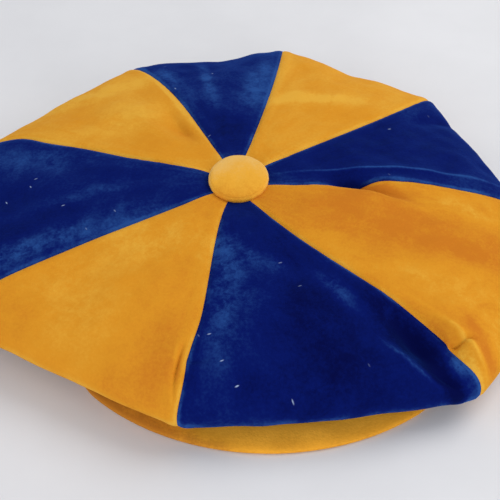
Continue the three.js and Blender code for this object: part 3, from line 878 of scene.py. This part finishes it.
def head_band():
    """Oval band with a rounded top edge, standing on its flat lower one."""
    turns = np.linspace(0, 2 * np.pi, BAND_STEPS, endpoint=False)
    half = BAND_WALL / 2
    outside = [(0.0, z) for z in np.linspace(0.0, BAND_HEIGHT - half, BAND_FACE_STEPS)]
    inside = [(BAND_WALL, z) for _, z in reversed(outside)]
    over = []
    for turn in np.radians(np.linspace(0, 180, BAND_TOP_STEPS + 1)[1:-1]):
        over.append((half - half * math.cos(turn), BAND_HEIGHT - half + half * math.sin(turn)))
    profile = outside + over + inside
    points = []
    for inset, z in profile:
        for turn in turns:
            x = (BAND_WIDTH / 2 - inset) * math.cos(turn)
            y = (BAND_LENGTH / 2 - inset) * math.sin(turn)
            points.append([x, y, z])
    points = np.array(points)
    faces = []
    for k in range(len(profile)):
        n = (k + 1) % len(profile)
        for s in range(BAND_STEPS):
            t = (s + 1) % BAND_STEPS
            a = k * BAND_STEPS
            b = n * BAND_STEPS
            faces.append([a + s, a + t, b + t, b + s])
    girth = np.tile(turns * (BAND_WIDTH + BAND_LENGTH) / 4, len(profile))
    uv = np.stack([girth, points[:, 2]], -1)
    return new_mesh("head_band_cloth", points, faces, even_marks(girth), uv)


class Velvet(NamedTuple):
    """Colours of a velvet in linear light: deep, for deep pile and painted shade; usual; and
    pale, for brushed pile and painted light; then the colour and weight of its sheen, and
    whether lint shows on it."""

    name: str
    deep: tuple
    usual: tuple
    brushed_and_painted_light: tuple
    sheen: tuple
    sheen_weight: float
    lint: bool


VELVETS = [
    Velvet("yellow_velvet", (0.525, 0.168, 0.014), (0.625, 0.255, 0.017), (0.70, 0.36, 0.040),
           (1.0, 0.68, 0.20), 0.10, False),
    Velvet("blue_velvet", (0.0012, 0.0026, 0.046), (0.0018, 0.0068, 0.100), (0.016, 0.062, 0.24),
           (0.03, 0.24, 1.0), 0.22, True),
    # A paler copy of the yellow velvet with a wider range, to paint light on the peak where the
    # crown shades it
    Velvet("peak_velvet_lit", (0.44, 0.165, 0.018), (0.76, 0.335, 0.028), (0.98, 0.465, 0.046),
           (1.0, 0.62, 0.12), 0.40, False),
    # A paler copy of the yellow velvet, painted lighter for the light that the button catches
    Velvet("button_velvet_lit", (0.60, 0.24, 0.020), (0.73, 0.355, 0.036), (0.72, 0.43, 0.12),
           (1.0, 0.75, 0.35), 0.15, False),
]


class Layer(NamedTuple):
    """A layer of noise: its scale, detail, roughness and distortion, the part of its range
    that is spread out, and the values that this becomes."""

    scale: float
    detail: float
    rough: float
    distortion: float
    low: float = 0.0
    high: float = 1.0
    least: float = 0.0
    most: float = 1.0


BROAD = Layer(9, 3, 0.5, 0.5, 0.32, 0.68, -0.09, 0.09)
CLOUD = Layer(28, 7, 0.68, 0.6, 0.30, 0.72, -0.12, 0.12)
STREAK = Layer(9, 6, 0.6, 0.5, 0.3, 0.7, -0.045, 0.045)
SPECK = Layer(700, 2, 0.55, 0.0, 0.25, 0.75, -0.06, 0.06)
CRUSHED = Layer(130, 7, 0.72, 0.25, 0.35, 0.65, 0.50, 1.50)
RAGGED = Layer(60, 4, 0.55, 0.0, 0.30, 0.65, 0.2, 1.0)
PILE = Layer(1100, 2, 0.55, 0.0)
TUFTS = Layer(260, 4, 0.55, 0.0)
FLOOR_TONE = Layer(14, 5, 0.55, 0.0, 0.3, 0.7)

# How the pile lies: usual, and the weight of the panel's tone and brushed patches with their
# painted light and shade, of the painted crest highlights, and of the worn edges with their
# painted sheen
LIE_USUAL = 0.42
LIE_AND_PAINTED_LIGHT_WEIGHT = 0.42
CREST_WEIGHT = 0.50
EDGE_WEIGHT = 0.34
STREAK_STRETCH = (1.0, 0.30, 1.0)

# Lint: cells' length and width, their bearings, the share left out, and a dot's reach
LINT_CELL = (0.045, 0.015, 1.0)
LINT_BEARINGS = (25, -55)
LINT_LEFT_OUT = 0.80
LINT_CORE = 0.008
LINT_EDGE = 0.028
LINT = (0.30, 0.38, 0.56)

# Velvet: lies at which its colours change, roughness where deep and pale, gloss and bump
DEEP_UP_TO = 0.5
PALE_FROM = 0.42
ROUGH_DEEP = 0.95
ROUGH_PALE = 0.75
SPECULAR = 0.02
SHEEN_ROUGH = 0.36
TUFT_SHARE = 1.4
BUMP_STRENGTH = 0.30
BUMP_HEIGHT = 0.0005


def node(tree, kind, **settings):
    made = tree.nodes.new(kind)
    for key, value in settings.items():
        setattr(made, key, value)
    return made


def noise(tree, vector, layer):
    made = node(tree, "ShaderNodeTexNoise")
    made.inputs["Scale"].default_value = layer.scale
    made.inputs["Detail"].default_value = layer.detail
    made.inputs["Roughness"].default_value = layer.rough
    made.inputs["Distortion"].default_value = layer.distortion
    tree.links.new(vector, made.inputs["Vector"])
    return made.outputs["Fac"]


def span(tree, value, low, high, least=0.0, most=1.0):
    made = node(tree, "ShaderNodeMapRange")
    made.interpolation_type = "SMOOTHSTEP"
    made.inputs["From Min"].default_value = low
    made.inputs["From Max"].default_value = high
    made.inputs["To Min"].default_value = least
    made.inputs["To Max"].default_value = most
    tree.links.new(value, made.inputs["Value"])
    return made.outputs["Result"]


def patches(tree, vector, layer):
    return span(tree, noise(tree, vector, layer), layer.low, layer.high, layer.least, layer.most)


def math_node(tree, operation, a, b, clamp=False):
    made = node(tree, "ShaderNodeMath", operation=operation, use_clamp=clamp)
    for socket, value in zip(made.inputs, (a, b)):
        if isinstance(value, (int, float)):
            socket.default_value = value
        else:
            tree.links.new(value, socket)
    return made.outputs["Value"]


def colour_mix(tree, factor, a, b):
    made = node(tree, "ShaderNodeMix", data_type="RGBA")
    tree.links.new(factor, made.inputs[MIX_FACTOR])
    for socket, value in ((made.inputs[MIX_A], a), (made.inputs[MIX_B], b)):
        if isinstance(value, tuple):
            socket.default_value = (*value, 1.0)
        else:
            tree.links.new(value, socket)
    return made.outputs[MIX_RESULT]


def attribute(tree, name):
    return node(tree, "ShaderNodeAttribute", attribute_name=name).outputs["Fac"]


def lay_out(tree):
    """Sets a tree's nodes in columns, by how many links they are from its output."""
    depth = {made.name: 0 for made in tree.nodes}
    for _ in range(len(depth)):
        for link in tree.links:
            further = depth[link.to_node.name] + 1
            depth[link.from_node.name] = max(depth[link.from_node.name], further)
    rows = dict.fromkeys(depth.values(), 0)
    for made in tree.nodes:
        column = depth[made.name]
        made.location = (-NODE_COLUMN * column, -NODE_ROW * rows[column])
        rows[column] += 1


def velvet_nap(tree, coords):
    """How the pile lies, from deep at 0 through usual at 0.5 to pale at 1: broad clouds,
    finer crushed places and streaks, on top of the panel's tone and brushed patches with their
    painted light and shade, the painted highlights on crests, and the worn edges with their
    painted sheen."""
    grain = node(tree, "ShaderNodeMapping")
    grain.inputs["Scale"].default_value = STREAK_STRETCH
    uv = node(tree, "ShaderNodeUVMap", uv_map="UVMap")
    tree.links.new(uv.outputs["UV"], grain.inputs["Vector"])

    crushed = patches(tree, coords, CRUSHED)
    brushed_and_painted_light = math_node(tree, "MULTIPLY", attribute(tree, "brushed_and_painted_light"), crushed)
    lie_and_painted_light = math_node(tree, "ADD", attribute(tree, "nap"), brushed_and_painted_light)
    edge = math_node(tree, "MULTIPLY", attribute(tree, "edge"), EDGE_WEIGHT)
    parts = [
        patches(tree, coords, CLOUD),
        patches(tree, grain.outputs["Vector"], STREAK),
        patches(tree, coords, SPECK),
        # The panel's tone and brushed patches with painted light and shade, then painted crest
        # highlights, then worn edges with a painted sheen
        math_node(tree, "MULTIPLY", lie_and_painted_light, LIE_AND_PAINTED_LIGHT_WEIGHT),
        math_node(tree, "MULTIPLY", attribute(tree, "crest"), CREST_WEIGHT),
        math_node(tree, "MULTIPLY", edge, patches(tree, coords, RAGGED)),
    ]
    total = patches(tree, coords, BROAD)
    for part in parts:
        total = math_node(tree, "ADD", total, part)
    return math_node(tree, "ADD", total, LIE_USUAL, clamp=True)


def lint_mask(tree, coords):
    """Sparse short pale fibres, lying two ways: few cells of a stretched pattern, each with
    a small dot at its heart."""
    masks = []
    for bearing in LINT_BEARINGS:
        turned = node(tree, "ShaderNodeMapping", vector_type="TEXTURE")
        turned.inputs["Rotation"].default_value = (0, 0, math.radians(bearing))
        turned.inputs["Scale"].default_value = LINT_CELL
        tree.links.new(coords, turned.inputs["Vector"])
        cells = node(tree, "ShaderNodeTexVoronoi", voronoi_dimensions="2D")
        cells.inputs["Scale"].default_value = 1.0
        tree.links.new(turned.outputs["Vector"], cells.inputs["Vector"])
        dot = span(tree, cells.outputs["Distance"], LINT_CORE, LINT_EDGE, 1.0, 0.0)
        pick = node(tree, "ShaderNodeSeparateColor")
        tree.links.new(cells.outputs["Color"], pick.inputs["Color"])
        few = math_node(tree, "GREATER_THAN", pick.outputs["Red"], LINT_LEFT_OUT)
        shown = math_node(tree, "MULTIPLY", dot, few)
        masks.append(math_node(tree, "MULTIPLY", shown, pick.outputs["Green"]))
    return math_node(tree, "MAXIMUM", *masks)


def velvet_material(velvet):
    material = bpy.data.materials.new(velvet.name)
    material.use_nodes = True
    tree = material.node_tree
    shader = tree.nodes["Principled BSDF"]
    coords = node(tree, "ShaderNodeTexCoord").outputs["Object"]
    nap = velvet_nap(tree, coords)
    low = span(tree, nap, 0.0, DEEP_UP_TO)
    high = span(tree, nap, PALE_FROM, 1.0)
    # Deep colour for deep pile and painted shade, pale colour for brushed pile and painted light
    colour = colour_mix(tree, low, velvet.deep, velvet.usual)
    colour = colour_mix(tree, high, colour, velvet.brushed_and_painted_light)
    if velvet.lint:
        colour = colour_mix(tree, lint_mask(tree, coords), colour, LINT)
    tree.links.new(colour, shader.inputs["Base Color"])

    rough = span(tree, nap, 0.0, 1.0, ROUGH_DEEP, ROUGH_PALE)
    tree.links.new(rough, shader.inputs["Roughness"])
    shader.inputs["Specular IOR Level"].default_value = SPECULAR
    shader.inputs["Sheen Weight"].default_value = velvet.sheen_weight
    shader.inputs["Sheen Roughness"].default_value = SHEEN_ROUGH
    shader.inputs["Sheen Tint"].default_value = (*velvet.sheen, 1.0)

    tufts = math_node(tree, "MULTIPLY", noise(tree, coords, TUFTS), TUFT_SHARE)
    bump = node(tree, "ShaderNodeBump")
    bump.inputs["Strength"].default_value = BUMP_STRENGTH
    bump.inputs["Distance"].default_value = BUMP_HEIGHT
    tree.links.new(math_node(tree, "ADD", noise(tree, coords, PILE), tufts), bump.inputs["Height"])
    tree.links.new(bump.outputs["Normal"], shader.inputs["Normal"])
    lay_out(tree)
    return material


def floor():
    mesh = bpy.data.meshes.new("floor")
    corners = [(-1, -1), (1, -1), (1, 1), (-1, 1)]
    mesh.from_pydata([(FLOOR_HALF * x, FLOOR_HALF * y, 0) for x, y in corners], [], [[0, 1, 2, 3]])
    piece = bpy.data.objects.new("floor", mesh)
    bpy.context.collection.objects.link(piece)
    piece.location.z = -FLOOR_DROP
    material = bpy.data.materials.new("pale_floor")
    material.use_nodes = True
    tree = material.node_tree
    shader = tree.nodes["Principled BSDF"]
    coords = node(tree, "ShaderNodeTexCoord").outputs["Object"]
    colour = colour_mix(tree, patches(tree, coords, FLOOR_TONE), FLOOR_DARK, FLOOR_PALE)
    tree.links.new(colour, shader.inputs["Base Color"])
    shader.inputs["Roughness"].default_value = FLOOR_ROUGH
    lay_out(tree)
    mesh.materials.append(material)


class Lamp(NamedTuple):
    """A round light aimed at the cap: its name, place in metres, power and colour."""

    name: str
    place: tuple
    power: float
    colour: tuple


LAMPS = [
    Lamp("window", (0.85, 0.45, 1.1), 11.0, (1.0, 0.98, 0.95)),
    Lamp("room", (0.30, -1.25, 0.45), 6.0, (0.97, 0.98, 1.0)),
    Lamp("side", (-1.25, -0.70, 0.40), 4.0, (0.97, 0.98, 1.0)),
]


def lights():
    world = bpy.data.worlds.new("soft_room")
    world.use_nodes = True
    tree = world.node_tree
    background = tree.nodes["Background"]
    background.inputs["Color"].default_value = SKY
    height = node(tree, "ShaderNodeSeparateXYZ")
    direction = node(tree, "ShaderNodeTexCoord").outputs["Generated"]
    tree.links.new(direction, height.inputs["Vector"])
    strength = span(tree, height.outputs["Z"], 0.0, SKY_HIGH_AT, SKY_LOW, SKY_HIGH)
    tree.links.new(strength, background.inputs["Strength"])
    lay_out(tree)
    bpy.context.scene.world = world
    for lamp in LAMPS:
        light = bpy.data.lights.new(lamp.name, "AREA")
        light.shape = "DISK"
        light.size = LAMP_SIZE
        light.energy = lamp.power
        light.color = lamp.colour
        holder = bpy.data.objects.new(lamp.name, light)
        bpy.context.collection.objects.link(holder)
        holder.location = lamp.place
        holder.rotation_euler = (-Vector(lamp.place)).to_track_quat("-Z", "Y").to_euler()


def camera():
    data = bpy.data.cameras.new("photo_view")
    data.sensor_width = CAMERA_SENSOR
    data.lens = CAMERA_LENS
    data.clip_start = CAMERA_CLIP
    holder = bpy.data.objects.new("photo_view", data)
    bpy.context.collection.objects.link(holder)
    holder.location = Vector(CAMERA_PLACE) * MM
    holder.rotation_euler = (math.radians(90 - CAMERA_DOWN_DEG), 0, math.radians(CAMERA_TURN_DEG))
    bpy.context.scene.camera = holder


def dress(piece, node_name, material):
    piece.data.materials.append(material)
    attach(piece, "root")
    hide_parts(node_name)


bpy.context.scene.view_settings.view_transform = "Standard"
materials = {velvet.name: velvet_material(velvet) for velvet in VELVETS}
for panel, piece in zip(PANELS, crown_panels()):
    dress(piece, panel.node, materials[panel.slot])
dress(button(), "covered_button", materials["button_velvet_lit"])
dress(peak(), "peak", materials["peak_velvet_lit"])
dress(head_band(), "head_band", materials["yellow_velvet"])
floor()
lights()
camera()
